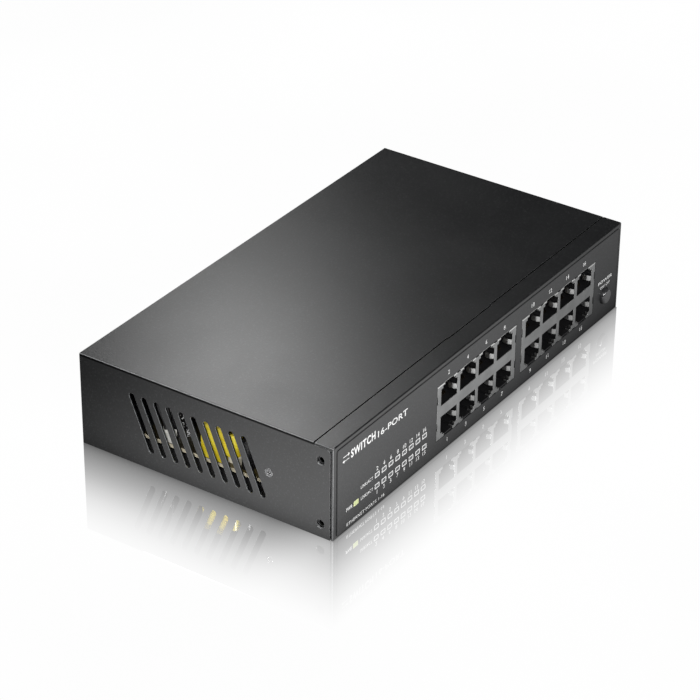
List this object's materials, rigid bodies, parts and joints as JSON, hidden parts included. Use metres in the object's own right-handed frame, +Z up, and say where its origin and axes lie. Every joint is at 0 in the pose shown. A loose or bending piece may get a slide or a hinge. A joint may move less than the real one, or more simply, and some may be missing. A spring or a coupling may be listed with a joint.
{
  "type": "desktop network switch",
  "caption": "Steel-cased desktop network switch with stacked RJ45 sockets, link lamps, a push button, side vents and a built-in mains supply.",
  "frame": {"origin": "centre of the underside, on the face the case rests on", "axes": "+X along the front to the right as seen from the front, +Y from the front face to the back, +Z up"},
  "size_m": [0.218, 0.1282, 0.042],
  "materials": {
    "powder_black": "satin powder coat with a fine speckle",
    "label_black": "matte printed polyester overlay",
    "nickel_shield": "satin nickel plate",
    "jack_plastic": "moulded black",
    "gold_contact": "gold flash",
    "lamp_lens": "frosted clear, unlit",
    "power_lens": "lit yellow-green",
    "button_plastic": "satin moulded",
    "spring_steel": "bright wire",
    "board_green": "solder mask",
    "chip_black": "moulded epoxy",
    "heatsink_aluminium": "extruded",
    "plated_steel": "zinc plate",
    "screw_black": "blackened zinc",
    "capacitor_sleeve": "shrunk sleeve",
    "ferrite": "sintered ferrite",
    "white_nylon": "moulded nylon",
    "board_tan": "paper phenolic board",
    "insulator_film": "polyester film",
    "cream_plastic": "moulded",
    "yellow_tape": "polyester tape",
    "yellow_case": "moulded case",
    "choke_copper": "enamelled copper wire",
    "fuse_brown": "moulded",
    "ceramic_blue": "dipped ceramic",
    "plated_brass": "tin plate",
    "wire_black": "PVC",
    "wire_green": "PVC, green and yellow",
    "wire_red": "PVC"
  },
  "bodies": {
    "case": {"ac_inlet": "jack_plastic", "ac_inlet_pins": "plated_brass", "ac_inlet_screws": "plated_steel", "ac_input_header": "white_nylon", "ac_wires": "wire_black", "base_chassis": "powder_black", "board_capacitors": "capacitor_sleeve", "board_inductor": "ferrite", "board_power_header": "white_nylon", "board_screws": "plated_steel", "board_standoffs": "plated_steel", "bridge_rectifier": "chip_black", "bulk_capacitor": "capacitor_sleeve", "chip_heatsink": "heatsink_aluminium", "choke_base": "jack_plastic", "cover_rear_screws": "screw_black", "cover_side_screws": "screw_black", "crystal": "plated_steel", "dc_harness": "wire_red", "dc_output_header": "white_nylon", "dc_plug": "white_nylon", "diode_heatsink": "heatsink_aluminium", "front_label": "label_black", "fuse": "fuse_brown", "ground_lug": "plated_brass", "ground_screw": "plated_steel", "ground_wire": "wire_green", "input_choke": "choke_copper", "insulator_sheet": "insulator_film", "jack_contacts_left": "gold_contact", "jack_contacts_right": "gold_contact", "jack_housing_left": "jack_plastic", "jack_housing_right": "jack_plastic", "jack_shield_left": "nickel_shield", "jack_shield_right": "nickel_shield", "lamp_housings": "jack_plastic", "line_transformers": "chip_black", "link_lamp_lenses": "lamp_lens", "main_board": "board_green", "optocoupler": "chip_black", "output_capacitors": "capacitor_sleeve", "output_diode": "chip_black", "port_chips": "chip_black", "power_lamp_lens": "power_lens", "psu_board": "board_tan", "psu_standoffs": "plated_steel", "switch_body": "jack_plastic", "switch_chip": "chip_black", "switch_spring": "spring_steel", "switching_transistor": "chip_black", "top_cover": "powder_black", "transformer_bobbin": "cream_plastic", "transformer_core": "ferrite", "transformer_tape": "yellow_tape", "transformer_winding": "yellow_tape", "transistor_heatsink": "heatsink_aluminium", "x_capacitor": "yellow_case", "y_capacitor": "ceramic_blue"},
    "button": {"button_cap": "button_plastic", "switch_plunger": "jack_plastic"}
  },
  "joints": [
    {"name": "button_press", "type": "slide", "parent": "case", "child": "button", "axis": [0, 1, 0], "range_m": [0, 0.0012], "stiffness_N_per_m": 400, "deforming": ["switch_spring"]}
  ]
}
